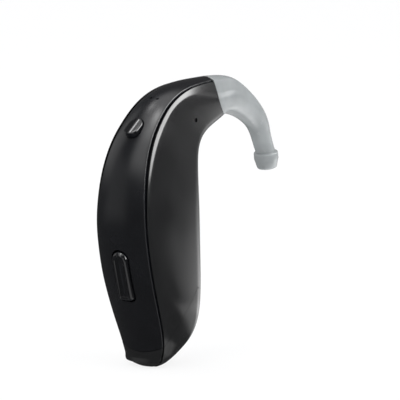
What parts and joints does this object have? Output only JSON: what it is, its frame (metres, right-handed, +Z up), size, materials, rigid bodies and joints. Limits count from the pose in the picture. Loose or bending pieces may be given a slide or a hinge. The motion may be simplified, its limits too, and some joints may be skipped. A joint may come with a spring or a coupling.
{
  "type": "behind the ear hearing aid",
  "caption": "Behind the ear hearing aid: curved casing with an ear hook that carries the sound to a tubing nipple, a hinged battery door, a push button and a volume rocker.",
  "frame": {"origin": "under the middle of the bounding box, on the level of the battery door's foot", "axes": "+Z up from the door's foot to the top of the casing, +X from the spine towards the ear hook, +Y to the wearer's left, across the two shells"},
  "size_m": [0.0343, 0.0094, 0.0377],
  "materials": {
    "casing": "satin dark anthracite moulding",
    "spine": "satin black moulding",
    "hook_plastic": "translucent light grey moulding",
    "frame_plastic": "matt natural nylon",
    "steel": "bright stainless steel",
    "brass": "gold plated",
    "rubber": "matt rubber",
    "silicone": "natural silicone",
    "board": "solder mask",
    "chip": "moulded package",
    "components": "ceramic",
    "copper": "enamelled copper wire",
    "cell": "nickel plated can",
    "red_wire": "insulated wire",
    "blue_wire": "insulated wire"
  },
  "bodies": {
    "housing": {"ear_hook": "hook_plastic", "acoustic_damper": "steel", "hook_nozzle": "steel", "nozzle_seal": "rubber", "left_shell": "casing", "right_shell": "casing", "spine_cover": "spine", "chassis": "frame_plastic", "upper_cross_pin": "steel", "front_microphone": "brass", "front_microphone_boot": "rubber", "rear_microphone": "brass", "rear_microphone_boot": "rubber", "port_mesh": "steel", "receiver": "steel", "receiver_sleeve": "rubber", "receiver_tube": "silicone", "main_board": "board", "signal_processor": "chip", "board_components": "components", "telecoil_core": "chip", "telecoil_winding": "copper", "button_switch": "steel", "rocker_pin": "steel", "rocker_switches": "steel", "rocker_board": "board", "door_hinge_pin": "steel", "positive_contact": "brass", "negative_contact": "brass", "contact_leads": "red_wire", "receiver_leads": "blue_wire"},
    "door": {"battery_door": "casing", "battery": "cell"},
    "button": {"push_button": "spine"},
    "rocker": {"volume_rocker": "spine"}
  },
  "joints": [
    {"name": "battery_door_hinge", "type": "hinge", "parent": "housing", "child": "door", "pos_m": [-0.0043, 0, 0.01185], "axis": [0, -1, 0], "range_deg": [0, 95]},
    {"name": "push_button_travel", "type": "slide", "parent": "housing", "child": "button", "axis": [0.7724, 0, -0.6351], "range_m": [0, 0.0003], "stiffness_N_per_m": 2500},
    {"name": "volume_rocker_tilt", "type": "hinge", "parent": "housing", "child": "rocker", "pos_m": [-0.01412, 0, 0.01336], "axis": [0, -1, 0], "range_deg": [-4, 4], "stiffness_Nm_per_rad": 0.02}
  ]
}
